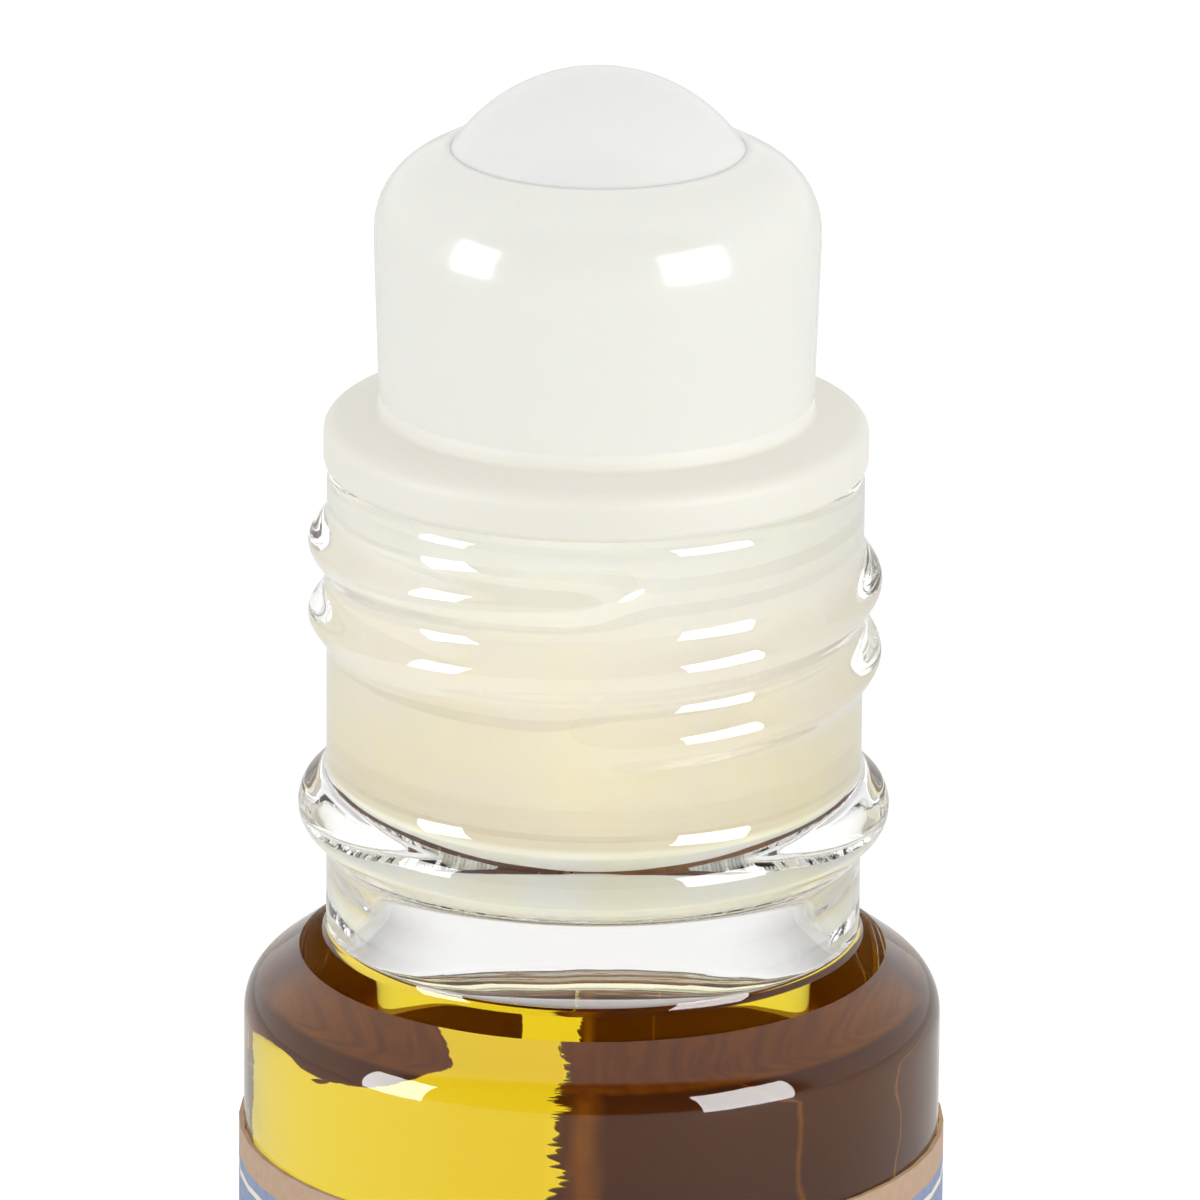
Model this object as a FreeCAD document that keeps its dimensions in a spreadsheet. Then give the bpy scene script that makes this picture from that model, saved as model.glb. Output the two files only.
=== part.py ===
import FreeCAD, Part
import Sketcher
import math
import os
import re

# Uncapped glass roll-on bottle for 10 ml of oil, in millimetres.
# The origin is the centre of the base, +Z runs up the bottle's axis and -Y is the front.
# Heights on the neck, the insert and the label are measured from the rim, because the rim
# is the face that the insert and a cap are made to.

# Driving dimensions: alias, value, what it measures
driving_dimensions = [
    ("BodyDiameter", 20.0, "outside diameter of the glass body"),
    ("BodyWall", 1.6, "thickness of the glass around the body"),
    ("GlassHeight", 72.0, "base to rim of the glass"),
    ("BaseThickness", 2.6, "underside of the base to the inside floor"),
    ("PushUpDepth", 0.8, "depth of the recess under the base"),
    ("BearingWidth", 1.3, "width of the flat ring that the bottle stands on"),
    ("PushUpSlope", 1.6, "width of the slope from the ring up to the recess"),
    ("HeelRadius", 1.6, "outside corner between base and body"),
    ("InnerHeelEase", 1.3, "inside corner between floor and body, cut off at 45 degrees"),
    ("NeckDiameter", 15.3, "plain wall of the neck, under the thread"),
    ("NeckBore", 11.5, "bore of the neck, which the plug seals in"),
    ("NeckHeight", 13.9, "rim to the start of the shoulder"),
    ("ShoulderDrop", 1.75, "fall of the shoulder before its corner is rounded"),
    ("ShoulderRadius", 1.4, "outside corner between shoulder and body"),
    ("NeckRootEase", 0.3, "outside corner between neck and shoulder"),
    ("BoreLength", 11.6, "rim to the end of the straight bore"),
    ("InnerShoulderDrop", 5.0, "fall of the inside of the shoulder"),
    ("NeckRootWall", 0.681, "least thickness of the glass level with the foot of the neck"),
    ("InnerShoulderEase", 0.8, "both inside shoulder corners"),
    ("RimOuterEase", 0.3, "outer edge of the rim"),
    ("RimInnerEase", 0.2, "inner edge of the rim"),
    ("BeadDiameter", 16.9, "transfer bead, over its crest"),
    ("BeadHeight", 2.3, "transfer bead, along the neck at its root"),
    ("BeadCrest", 0.75, "length of the crest before it is rounded"),
    ("BeadDrop", 10.1, "rim to the middle of the bead"),
    ("BeadCrestEase", 0.25, "both corners of the crest"),
    ("BeadRootEase", 0.3, "both corners at the root"),
    ("ThreadDiameter", 16.36, "thread, over its crest"),
    ("ThreadPitch", 2.117, "advance in one turn, which is 12 turns to the inch"),
    ("ThreadWidth", 1.7, "width of the ridge at the neck wall"),
    ("ThreadCrest", 0.75, "width of the ridge's flat crest"),
    ("ThreadEase", 0.2, "width of the bevel on each side of the crest"),
    ("ThreadDrop", 1.65, "rim to the crest where the ridge starts"),
    ("ThreadTurns", 2.09, "turns from one run-out end to the other"),
    ("ThreadStart", 290.0, "where the ridge starts, in degrees from +X seen from above"),
    ("ThreadRunOut", 45.0, "degrees over which each end sinks into the neck"),
    ("ThreadRoot", 0.4, "how deep the ridge is set into the neck wall"),
    ("ThreadSink", 0.15, "how far under the wall each end of the ridge runs out"),
    ("ThreadStep", 20.0, "degrees from one section of the ridge to the next"),
    ("BallDiameter", 10.0, "roller ball"),
    ("BallHeight", 6.55, "rim to the centre of the ball"),
    ("BallClearance", 0.06, "gap all round the ball in its socket"),
    ("CupDiameter", 12.68, "socket cup, level with the ball's centre"),
    ("CupFootDiameter", 12.34, "socket cup, where it meets the flange"),
    ("DomeHeight", 8.27, "rim to the corner of the cup before it is rounded"),
    ("DomeRadius", 2.25, "rounding of the cup's shoulder"),
    ("LipHeight", 9.32, "rim to the top of the lip that holds the ball"),
    ("LipWidth", 0.22, "flat top of the lip"),
    ("LipRadius", 0.12, "easing of the lip's edges"),
    ("FlangeDiameter", 15.5, "flange that rests on the rim"),
    ("FlangeThickness", 1.35, "flange at its outer edge"),
    ("FlangeRise", 0.27, "rise of the flange from its edge to the cup"),
    ("FlangeEase", 0.3, "upper edge of the flange"),
    ("FlangeUnderEase", 0.17, "lower edge of the flange"),
    ("CupRootEase", 0.12, "corner between cup and flange"),
    ("PlugDiameter", 11.1, "plug between its sealing rings"),
    ("PlugBore", 8.8, "inside of the plug"),
    ("PlugLength", 11.05, "rim to the lower end of the plug"),
    ("PlugLead", 0.55, "taper that starts the plug in the bore"),
    ("RingCount", 3, "sealing rings on the plug"),
    ("RingDrop", 2.1, "rim to the middle of the first ring"),
    ("RingPitch", 3.4, "from one ring to the next"),
    ("RingHeight", 1.1, "ring at its root"),
    ("RingCrest", 0.35, "ring at its crest"),
    ("RingFit", 0.02, "how far a ring bites into the neck's bore"),
    ("WebThickness", 1.1, "floor between the socket and the plug"),
    ("FlowHole", 4.4, "hole that feeds the ball"),
    ("FeedWidth", 0.8, "width of the feed grooves in the socket"),
    ("FeedDepth", 0.4, "depth of the feed grooves in the socket"),
    ("FeedReach", 3.3, "from the ball's centre down to the ends of the grooves"),
    ("FeedGrooves", 4, "feed grooves round the flow hole"),
    ("OilDrop", 14.4, "rim to the surface of the oil"),
    ("MeniscusRise", 0.45, "height that the oil climbs up the glass"),
    ("MeniscusWidth", 0.9, "width of the climbing edge"),
    ("OilFilm", 0.03, "gap between the oil's solid and the glass"),
    ("LabelHeight", 45.0, "wrap label, top to bottom"),
    ("LabelDrop", 19.7, "rim to the top edge of the label"),
    ("LabelThickness", 0.15, "label and its adhesive"),
    ("LabelGap", 1.75, "strip of bare glass between the label's ends"),
    ("LabelGapTurn", 97.0, "middle of that gap, in degrees from +X seen from above"),
    ("AdhesiveGap", 0.02, "gap between the label's solid and the glass"),
]

# Worked out from the above: alias, formula, what it gives
worked_out = [
    ("InnerNeckRoot",
     "min(NeckDiameter / 2 - NeckRootWall; NeckBore / 2 + (NeckHeight - BoreLength)"
     " * (BodyDiameter / 2 - BodyWall - NeckBore / 2) / InnerShoulderDrop)",
     "radius of the cavity level with the foot of the neck"),
    ("InnerShoulderFlare",
     "(BodyDiameter / 2 - BodyWall - InnerNeckRoot) / (BoreLength + InnerShoulderDrop - NeckHeight)",
     "how fast the cavity widens with depth under the foot of the neck"),
]

# Two places nearer than this are the same place
same_place = 0.003

doc = FreeCAD.newDocument("RollOnBottle")
sheet = doc.addObject("Spreadsheet::Sheet", "Dimensions")
for row, (alias, value, note) in enumerate(driving_dimensions, start=1):
    sheet.set("A%d" % row, note)
    sheet.set("B%d" % row, str(value))
    sheet.setAlias("B%d" % row, alias)
doc.recompute()
for row, (alias, formula, note) in enumerate(worked_out, start=len(driving_dimensions) + 1):
    sheet.set("A%d" % row, note)
    sheet.set("B%d" % row, "=" + formula)
    sheet.setAlias("B%d" % row, alias)
    doc.recompute()


def size(alias):
    return float(sheet.get(alias))


def bound(text):
    return re.sub(r"[A-Z]\w+", lambda word: "Dimensions." + word.group(), text)


def origin_feature(body, role):
    for feature in body.Origin.OriginFeatures:
        if feature.Role == role:
            return feature
    raise ValueError(role)


# A sketch of half the cross-section, whose corners are bound to the sheet one by one
def half_section(body, name, corners):
    sketch = body.newObject("Sketcher::SketchObject", name)
    sketch.AttachmentSupport = (origin_feature(body, "XZ_Plane"), [""])
    sketch.MapMode = "FlatFace"
    count = len(corners)
    # The first shape only has to be a simple outline: the constraints set the real one
    for i in range(count):
        turn, following = 2 * math.pi * i / count, 2 * math.pi * (i + 1) / count
        sketch.addGeometry(Part.LineSegment(
            FreeCAD.Vector(math.cos(turn), math.sin(turn), 0),
            FreeCAD.Vector(math.cos(following), math.sin(following), 0)), False)
    for i in range(count):
        sketch.addConstraint(Sketcher.Constraint("Coincident", i, 2, (i + 1) % count, 1))
    for i, (corner, radius, height) in enumerate(corners):
        for kind, axis, expression in (("DistanceX", -2, radius), ("DistanceY", -1, height)):
            if expression == "0":
                sketch.addConstraint(Sketcher.Constraint("PointOnObject", i, 1, axis))
                continue
            index = sketch.addConstraint(Sketcher.Constraint(kind, -1, 1, i, 1,
                                                             size("BodyDiameter")))
            label = corner + ("_radius" if kind == "DistanceX" else "_height")
            sketch.renameConstraint(index, label)
            sketch.setExpression("Constraints." + label, bound(expression))
    doc.recompute()
    return sketch


def revolve(body, name, sketch):
    turned = body.newObject("PartDesign::Revolution", name)
    turned.Profile = sketch
    turned.ReferenceAxis = (sketch, ["V_Axis"])
    turned.Angle = 360.0
    doc.recompute()
    return turned


# The circular edge that a corner of the half-section makes when it is turned
def corner_edge(feature, sketch, corners, corner):
    place = [name for name, radius, height in corners].index(corner)
    point = sketch.getPoint(place, 1)
    for number, edge in enumerate(feature.Shape.Edges, start=1):
        if isinstance(edge.Curve, Part.Circle):
            off_radius = abs(edge.Curve.Radius - point.x)
            off_height = abs(edge.Curve.Center.z - point.y)
            if max(off_radius, off_height) < same_place:
                return "Edge%d" % number
    raise ValueError("no edge at corner " + corner)


# Corners that show in the outline are rounded, and small or hidden ones are bevelled
def ease_corners(body, feature, sketch, corners, eases):
    for kind, name, amount, picked in eases:
        eased = body.newObject("PartDesign::" + kind, name)
        edges = [corner_edge(feature, sketch, corners, corner) for corner in picked]
        eased.Base = (feature, edges)
        eased.setExpression("Radius" if kind == "Fillet" else "Size", bound(amount))
        doc.recompute()
        feature = eased


# Glass bottle: base with its bearing ring, body, shoulder, neck with transfer bead, and cavity
bottle_corners = [
    ("recess_middle", "0", "PushUpDepth"),
    ("recess_edge", "BodyDiameter / 2 - HeelRadius - BearingWidth - PushUpSlope", "PushUpDepth"),
    ("bearing_inner", "BodyDiameter / 2 - HeelRadius - BearingWidth", "0"),
    ("heel", "BodyDiameter / 2", "0"),
    ("shoulder", "BodyDiameter / 2", "GlassHeight - NeckHeight - ShoulderDrop"),
    ("neck_root", "NeckDiameter / 2", "GlassHeight - NeckHeight"),
    ("bead_low_root", "NeckDiameter / 2", "GlassHeight - BeadDrop - BeadHeight / 2"),
    ("bead_low_crest", "BeadDiameter / 2", "GlassHeight - BeadDrop - BeadCrest / 2"),
    ("bead_high_crest", "BeadDiameter / 2", "GlassHeight - BeadDrop + BeadCrest / 2"),
    ("bead_high_root", "NeckDiameter / 2", "GlassHeight - BeadDrop + BeadHeight / 2"),
    ("rim_outer", "NeckDiameter / 2", "GlassHeight"),
    ("rim_inner", "NeckBore / 2", "GlassHeight"),
    ("bore_end", "NeckBore / 2", "GlassHeight - BoreLength"),
    ("inner_neck_root", "InnerNeckRoot", "GlassHeight - NeckHeight"),
    ("inner_shoulder", "BodyDiameter / 2 - BodyWall",
     "GlassHeight - BoreLength - InnerShoulderDrop"),
    ("inner_heel", "BodyDiameter / 2 - BodyWall", "BaseThickness"),
    ("floor_middle", "0", "BaseThickness"),
]
bottle_eases = [
    ("Fillet", "HeelFillet", "HeelRadius", ["heel"]),
    ("Fillet", "ShoulderFillet", "ShoulderRadius", ["shoulder"]),
    ("Chamfer", "NeckRootBevel", "NeckRootEase", ["neck_root"]),
    ("Chamfer", "BeadCrestBevel", "BeadCrestEase", ["bead_low_crest", "bead_high_crest"]),
    ("Chamfer", "BeadRootBevel", "BeadRootEase", ["bead_low_root", "bead_high_root"]),
    ("Chamfer", "RimOuterBevel", "RimOuterEase", ["rim_outer"]),
    ("Chamfer", "RimInnerBevel", "RimInnerEase", ["rim_inner"]),
    ("Chamfer", "InnerShoulderBevel", "InnerShoulderEase", ["bore_end", "inner_shoulder"]),
    ("Chamfer", "InnerHeelBevel", "InnerHeelEase", ["inner_heel"]),
]
blown_glass = doc.addObject("PartDesign::Body", "BlownGlass")
bottle_sketch = half_section(blown_glass, "BottleHalfSection", bottle_corners)
bottle_turned = revolve(blown_glass, "BottleTurned", bottle_sketch)
ease_corners(blown_glass, bottle_turned, bottle_sketch, bottle_corners, bottle_eases)


# Thread: one raised ridge that falls clockwise round the neck, seen from above, and sinks
# into the wall at both ends, as the ridge of a moulded glass finish does. Its section has a
# flat crest, a bevel and a flank on each side, and flanks that run on to a root in the wall.
# The ridge is a loft through such sections along the helix.
def ridge_section(turn):
    wall = size("NeckDiameter") / 2
    crest = size("ThreadDiameter") / 2 - wall
    whole = size("ThreadTurns") * 360
    from_end = min(turn, whole - turn) / size("ThreadRunOut")
    sunk_share = 0.5 + 0.5 * math.cos(math.pi * min(1.0, from_end))
    sunk = (crest + size("ThreadSink")) * sunk_share
    angle = math.radians(size("ThreadStart") - turn)
    outward = FreeCAD.Vector(math.cos(angle), math.sin(angle), 0)
    up = FreeCAD.Vector(0, 0, 1)
    fall = size("ThreadDrop") + size("ThreadPitch") * turn / 360
    middle = outward * (wall - sunk) + up * (size("GlassHeight") - fall)
    half_crest = size("ThreadCrest") / 2
    half_bevel = half_crest + size("ThreadEase")
    flank_rise = crest - size("ThreadEase")
    flank_run = size("ThreadWidth") / 2 - half_bevel
    half_root = size("ThreadWidth") / 2 + flank_run * size("ThreadRoot") / flank_rise
    outline = [(half_root, -size("ThreadRoot")), (half_bevel, flank_rise), (half_crest, crest)]
    high_side = [middle + up * along + outward * rise for along, rise in outline]
    low_side = [middle - up * along + outward * rise for along, rise in reversed(outline)]
    return Part.makePolygon(high_side + low_side + high_side[:1])


def thread_ridge():
    whole = size("ThreadTurns") * 360
    steps = math.ceil(whole / size("ThreadStep"))
    sections = [ridge_section(whole * i / steps) for i in range(steps + 1)]
    return Part.makeLoft(sections, True, False)


ridge = doc.addObject("Part::Feature", "ThreadRidge")
ridge.Shape = thread_ridge()
ridge.Placement = FreeCAD.Placement()
glass_bottle = doc.addObject("Part::Fuse", "ThreadedGlass")
glass_bottle.Base = blown_glass
glass_bottle.Tool = ridge
glass_bottle.Label = "glass_bottle"
doc.recompute()

# Roller housing: one soft moulding with the socket cup, the flange and the hollow plug
housing_corners = [
    ("plug_mouth", "PlugBore / 2", "GlassHeight - PlugLength"),
    ("plug_end", "PlugDiameter / 2 - PlugLead / 2", "GlassHeight - PlugLength"),
    ("plug_lead", "PlugDiameter / 2", "GlassHeight - PlugLength + PlugLead"),
]
for ring in reversed(range(int(size("RingCount")))):
    middle = "GlassHeight - RingDrop - RingPitch * %d" % ring
    housing_corners += [
        ("ring%d_low_root" % ring, "PlugDiameter / 2", middle + " - RingHeight / 2"),
        ("ring%d_low_crest" % ring, "NeckBore / 2 + RingFit", middle + " - RingCrest / 2"),
        ("ring%d_high_crest" % ring, "NeckBore / 2 + RingFit", middle + " + RingCrest / 2"),
        ("ring%d_high_root" % ring, "PlugDiameter / 2", middle + " + RingHeight / 2"),
    ]
housing_corners += [
    ("flange_seat", "PlugDiameter / 2", "GlassHeight"),
    ("flange_under", "FlangeDiameter / 2", "GlassHeight"),
    ("flange_edge", "FlangeDiameter / 2", "GlassHeight + FlangeThickness"),
    ("cup_root", "CupFootDiameter / 2", "GlassHeight + FlangeThickness + FlangeRise"),
    ("cup_waist", "CupDiameter / 2", "GlassHeight + BallHeight"),
    ("cup_shoulder", "CupDiameter / 2", "GlassHeight + DomeHeight"),
    ("lip_outer", "sqrt((BallDiameter / 2 + BallClearance) ^ 2 - (LipHeight - BallHeight) ^ 2)"
     " + LipWidth", "GlassHeight + LipHeight"),
    ("flow_top", "FlowHole / 2", "GlassHeight + LipHeight"),
    ("flow_bottom", "FlowHole / 2",
     "GlassHeight + BallHeight - BallDiameter / 2 - BallClearance - WebThickness"),
    ("plug_roof", "PlugBore / 2",
     "GlassHeight + BallHeight - BallDiameter / 2 - BallClearance - WebThickness"),
]
housing_eases = [
    ("Fillet", "DomeFillet", "DomeRadius", ["cup_shoulder"]),
    ("Fillet", "LipFillet", "LipRadius", ["lip_outer"]),
    ("Chamfer", "FlangeBevel", "FlangeEase", ["flange_edge"]),
    ("Chamfer", "FlangeUnderBevel", "FlangeUnderEase", ["flange_under"]),
    ("Chamfer", "CupRootBevel", "CupRootEase", ["cup_root"]),
]
housing = doc.addObject("PartDesign::Body", "Housing")
housing.Label = "roller_housing"
housing_sketch = half_section(housing, "HousingHalfSection", housing_corners)
housing_turned = revolve(housing, "HousingTurned", housing_sketch)
ease_corners(housing, housing_turned, housing_sketch, housing_corners, housing_eases)

# The socket is cut by the ball's own size and clearance, so its lip closes over the ball
socket = housing.newObject("PartDesign::SubtractiveSphere", "Socket")
socket.setExpression("Radius", bound("BallDiameter / 2 + BallClearance"))
socket.setExpression("Placement.Base.z", bound("GlassHeight + BallHeight"))
doc.recompute()

# Feed grooves: a slot across the bottom of the socket, a little deeper than its sphere
feed_sketch = housing.newObject("Sketcher::SketchObject", "FeedSlotOutline")
feed_sketch.AttachmentSupport = (origin_feature(housing, "XZ_Plane"), [""])
feed_sketch.MapMode = "FlatFace"
ball_centre = FreeCAD.Vector(0, size("GlassHeight") + size("BallHeight"), 0)
slot_radius = (size("BallDiameter") / 2 + size("BallClearance") + size("FeedDepth"))
half_sweep = math.acos(size("FeedReach") / slot_radius)
feed_sketch.addGeometry(Part.ArcOfCircle(
    Part.Circle(ball_centre, FreeCAD.Vector(0, 0, 1), slot_radius),
    -math.pi / 2 - half_sweep, -math.pi / 2 + half_sweep), False)
feed_sketch.addGeometry(Part.LineSegment(
    feed_sketch.getPoint(0, 2), feed_sketch.getPoint(0, 1)), False)
feed_sketch.addConstraint(Sketcher.Constraint("Coincident", 1, 1, 0, 2))
feed_sketch.addConstraint(Sketcher.Constraint("Coincident", 1, 2, 0, 1))
feed_sketch.addConstraint(Sketcher.Constraint("Horizontal", 1))
feed_sketch.addConstraint(Sketcher.Constraint("PointOnObject", 0, 3, -2))
for label, kind, ends, expression in (
        ("slot_radius", "Radius", (0,), "BallDiameter / 2 + BallClearance + FeedDepth"),
        ("ball_height", "DistanceY", (-1, 1, 0, 3), "GlassHeight + BallHeight"),
        ("slot_reach", "DistanceY", (1, 1, 0, 3), "FeedReach")):
    index = feed_sketch.addConstraint(Sketcher.Constraint(kind, *ends, slot_radius))
    feed_sketch.renameConstraint(index, label)
    feed_sketch.setExpression("Constraints." + label, bound(expression))
doc.recompute()
feed_slot = housing.newObject("PartDesign::Pocket", "FeedSlot")
feed_slot.Profile = feed_sketch
feed_slot.SideType = "Symmetric"
feed_slot.setExpression("Length", bound("FeedWidth"))
doc.recompute()
feed_pattern = housing.newObject("PartDesign::PolarPattern", "FeedSlots")
feed_pattern.Originals = [feed_slot]
feed_pattern.Axis = (origin_feature(housing, "Z_Axis"), [""])
feed_pattern.Angle = 180.0
feed_pattern.setExpression("Occurrences", bound("FeedGrooves / 2 + 1"))
housing.Tip = feed_pattern
doc.recompute()

# Roller ball: a solid ball held in the socket, free to turn
roller_ball = doc.addObject("Part::Sphere", "Ball")
roller_ball.Label = "roller_ball"
roller_ball.setExpression("Radius", bound("BallDiameter / 2"))
roller_ball.setExpression("Placement.Base.z", bound("GlassHeight + BallHeight"))

# Oil: fills the cavity up to its surface under the plug, with the edge drawn up the glass
oil_corners = [
    ("floor_middle", "0", "BaseThickness + OilFilm"),
    ("floor_edge", "BodyDiameter / 2 - BodyWall - OilFilm", "BaseThickness + OilFilm"),
    ("under_shoulder", "BodyDiameter / 2 - BodyWall - OilFilm",
     "GlassHeight - BoreLength - InnerShoulderDrop"),
    ("climbing_edge",
     "InnerNeckRoot - OilFilm + (OilDrop - MeniscusRise - NeckHeight) * InnerShoulderFlare",
     "GlassHeight - OilDrop + MeniscusRise"),
    ("surface_edge",
     "InnerNeckRoot - OilFilm - MeniscusWidth + (OilDrop - NeckHeight) * InnerShoulderFlare",
     "GlassHeight - OilDrop"),
    ("surface_middle", "0", "GlassHeight - OilDrop"),
]
oil_eases = [
    ("Chamfer", "OilHeelBevel", "InnerHeelEase", ["floor_edge"]),
    ("Chamfer", "OilShoulderBevel", "InnerShoulderEase", ["under_shoulder"]),
    ("Chamfer", "MeniscusBevel", "MeniscusRise", ["surface_edge"]),
]
oil = doc.addObject("PartDesign::Body", "Oil")
oil.Label = "oil_fill"
oil_sketch = half_section(oil, "OilHalfSection", oil_corners)
oil_turned = revolve(oil, "OilTurned", oil_sketch)
ease_corners(oil, oil_turned, oil_sketch, oil_corners, oil_eases)

# Label: one strip wrapped nearly all the way round, whose ends leave a narrow gap behind
label_corners = [
    ("inner_low", "BodyDiameter / 2 + AdhesiveGap",
     "GlassHeight - LabelDrop - LabelHeight"),
    ("outer_low", "BodyDiameter / 2 + LabelThickness",
     "GlassHeight - LabelDrop - LabelHeight"),
    ("outer_high", "BodyDiameter / 2 + LabelThickness", "GlassHeight - LabelDrop"),
    ("inner_high", "BodyDiameter / 2 + AdhesiveGap", "GlassHeight - LabelDrop"),
]
wrap_label = doc.addObject("PartDesign::Body", "Label")
wrap_label.Label = "wrap_label"
label_sketch = half_section(wrap_label, "LabelSection", label_corners)
label_turned = revolve(wrap_label, "LabelWrap", label_sketch)
gap_degrees = "LabelGap / (BodyDiameter / 2 + LabelThickness) * 180 / pi"
label_turned.setExpression("Angle", bound("360 - " + gap_degrees))
wrap_label.setExpression("Placement.Rotation.Angle", bound(
    "LabelGapTurn + %s / 2" % gap_degrees))
doc.recompute()

pieces = [glass_bottle, housing, roller_ball, oil, wrap_label]
for item in doc.Objects:
    if "Invalid" in item.State or "Error" in item.State:
        raise RuntimeError("%s did not compute: %s" % (item.Name, item.State))
for piece in pieces:
    if piece.Shape.isNull() or not piece.Shape.isValid():
        raise RuntimeError(piece.Label + " has no valid shape")
    if len(piece.Shape.Solids) != 1:
        raise RuntimeError("%s has %d solids" % (piece.Label, len(piece.Shape.Solids)))

os.makedirs("parts", exist_ok=True)
for piece in pieces:
    piece.Shape.exportStep("parts/%s.step" % piece.Label)
    box = piece.Shape.BoundBox
    print("%-15s volume %8.1f mm3, z %6.2f to %6.2f, across %6.2f" % (
        piece.Label, piece.Shape.Volume, box.ZMin, box.ZMax, box.XLength))
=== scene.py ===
import bmesh
import bpy
import math
import random
from mathutils import Matrix, Vector


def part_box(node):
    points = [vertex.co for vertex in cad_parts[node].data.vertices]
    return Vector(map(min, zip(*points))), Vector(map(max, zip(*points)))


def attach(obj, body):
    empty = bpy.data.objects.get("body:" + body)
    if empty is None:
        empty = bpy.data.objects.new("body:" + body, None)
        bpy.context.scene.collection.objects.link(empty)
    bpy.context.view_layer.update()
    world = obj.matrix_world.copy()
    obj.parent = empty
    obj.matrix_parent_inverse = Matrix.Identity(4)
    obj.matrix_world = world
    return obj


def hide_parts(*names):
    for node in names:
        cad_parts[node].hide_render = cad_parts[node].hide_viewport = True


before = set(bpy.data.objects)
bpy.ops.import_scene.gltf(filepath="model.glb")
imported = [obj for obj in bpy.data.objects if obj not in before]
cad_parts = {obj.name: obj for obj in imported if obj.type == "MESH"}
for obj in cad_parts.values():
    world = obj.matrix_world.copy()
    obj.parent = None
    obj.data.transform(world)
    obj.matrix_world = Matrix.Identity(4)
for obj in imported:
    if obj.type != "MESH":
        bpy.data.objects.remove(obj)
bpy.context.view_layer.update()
print("frame loaded:", ", ".join(sorted(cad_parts)))

mm = 0.001                                  # sizes below are in millimetres
sameSpot = 0.0005                           # points nearer to each other than this are one
hair = 0.01                                 # least gap, and how far off a wall counts as on it
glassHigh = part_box("glass_bottle")[1]
housingLow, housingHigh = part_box("roller_housing")
ballLow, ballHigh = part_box("roller_ball")
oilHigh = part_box("oil_fill")[1]
labelLow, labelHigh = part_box("wrap_label")
rim = glassHigh.z / mm                      # height of the glass rim, the face all fits start from
bodyRadius = glassHigh.x / mm
ballCentre = (ballLow + ballHigh) / 2
ballRadius = (ballHigh.z - ballLow.z) / 2 / mm
labelGap = {"from": 92.0, "to": 102.0}      # degrees from +X, the strip of bare glass behind


# sRGB hex to the linear colour that the shaders take
def colour(text):
    channels = [int(text[i:i + 2], 16) / 255 for i in (1, 3, 5)]
    return [c / 12.92 if c <= 0.04045 else ((c + 0.055) / 1.055) ** 2.4 for c in channels] + [1.0]


# Adds a node: keyword settings first, then inputs, where a socket is linked and a value is set
def addNode(tree, kind, inputs=None, **settings):
    made = tree.nodes.new(kind)
    for name, value in settings.items():
        setattr(made, name, value)
    for key, value in (inputs or {}).items():
        if isinstance(value, bpy.types.NodeSocket):
            tree.links.new(value, made.inputs[key])
        else:
            made.inputs[key].default_value = value
    return made


def addObject(name, data):
    made = bpy.data.objects.new(name, data)
    bpy.context.scene.collection.objects.link(made)
    return made


# Turns the faces of a closed mesh outwards
def faceOutwards(mesh):
    shell = bmesh.new()
    shell.from_mesh(mesh)
    bmesh.ops.recalc_face_normals(shell, faces=shell.faces)
    if shell.calc_volume(signed=True) < 0:
        bmesh.ops.reverse_faces(shell, faces=shell.faces)
    shell.to_mesh(mesh)
    shell.free()


def newMaterial(name):
    material = bpy.data.materials.new(name)
    material.use_nodes = True
    material.node_tree.nodes.clear()
    return material, material.node_tree


# Materials: lengths in their dictionaries are in mm, and colours are as the eye sees them

# Soda-lime glass, blown in a mould and fire polished: clear, with faint ripples in its skin,
# which are deeper on the body than on the neck
def firePolishedGlass(name, ior, rippled=True):
    look = {"rippleApart": 2.5, "rippleDepth": 0.02, "rippleStrength": 0.6,
            "neckTo": 13.2, "bodyFrom": 14.6, "onBodyTimes": 1.7}       # depths below the rim
    material, tree = newMaterial(name)
    shader = addNode(tree, "ShaderNodeBsdfPrincipled", {
        "Base Color": colour("#FFFFFF"), "Roughness": 0.0, "IOR": ior,
        "Transmission Weight": 1.0})
    if rippled:
        place = addNode(tree, "ShaderNodeTexCoord").outputs["Object"]
        ripples = addNode(tree, "ShaderNodeTexNoise", {
            "Vector": place, "Scale": 1 / (look["rippleApart"] * mm), "Detail": 1.0})
        height = addNode(tree, "ShaderNodeSeparateXYZ", {0: place})
        onBody = addNode(tree, "ShaderNodeMapRange", {
            "Value": height.outputs["Z"], "From Min": (rim - look["neckTo"]) * mm,
            "From Max": (rim - look["bodyFrom"]) * mm, "To Min": 1.0,
            "To Max": look["onBodyTimes"]})
        waves = addNode(tree, "ShaderNodeMath", {
            0: ripples.outputs["Fac"], 1: onBody.outputs[0]}, operation="MULTIPLY")
        bump = addNode(tree, "ShaderNodeBump", {
            "Height": waves.outputs[0], "Distance": look["rippleDepth"] * mm,
            "Strength": look["rippleStrength"]})
        tree.links.new(bump.outputs["Normal"], shader.inputs["Normal"])
    addNode(tree, "ShaderNodeOutputMaterial", {"Surface": shader.outputs[0]})
    return material


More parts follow.
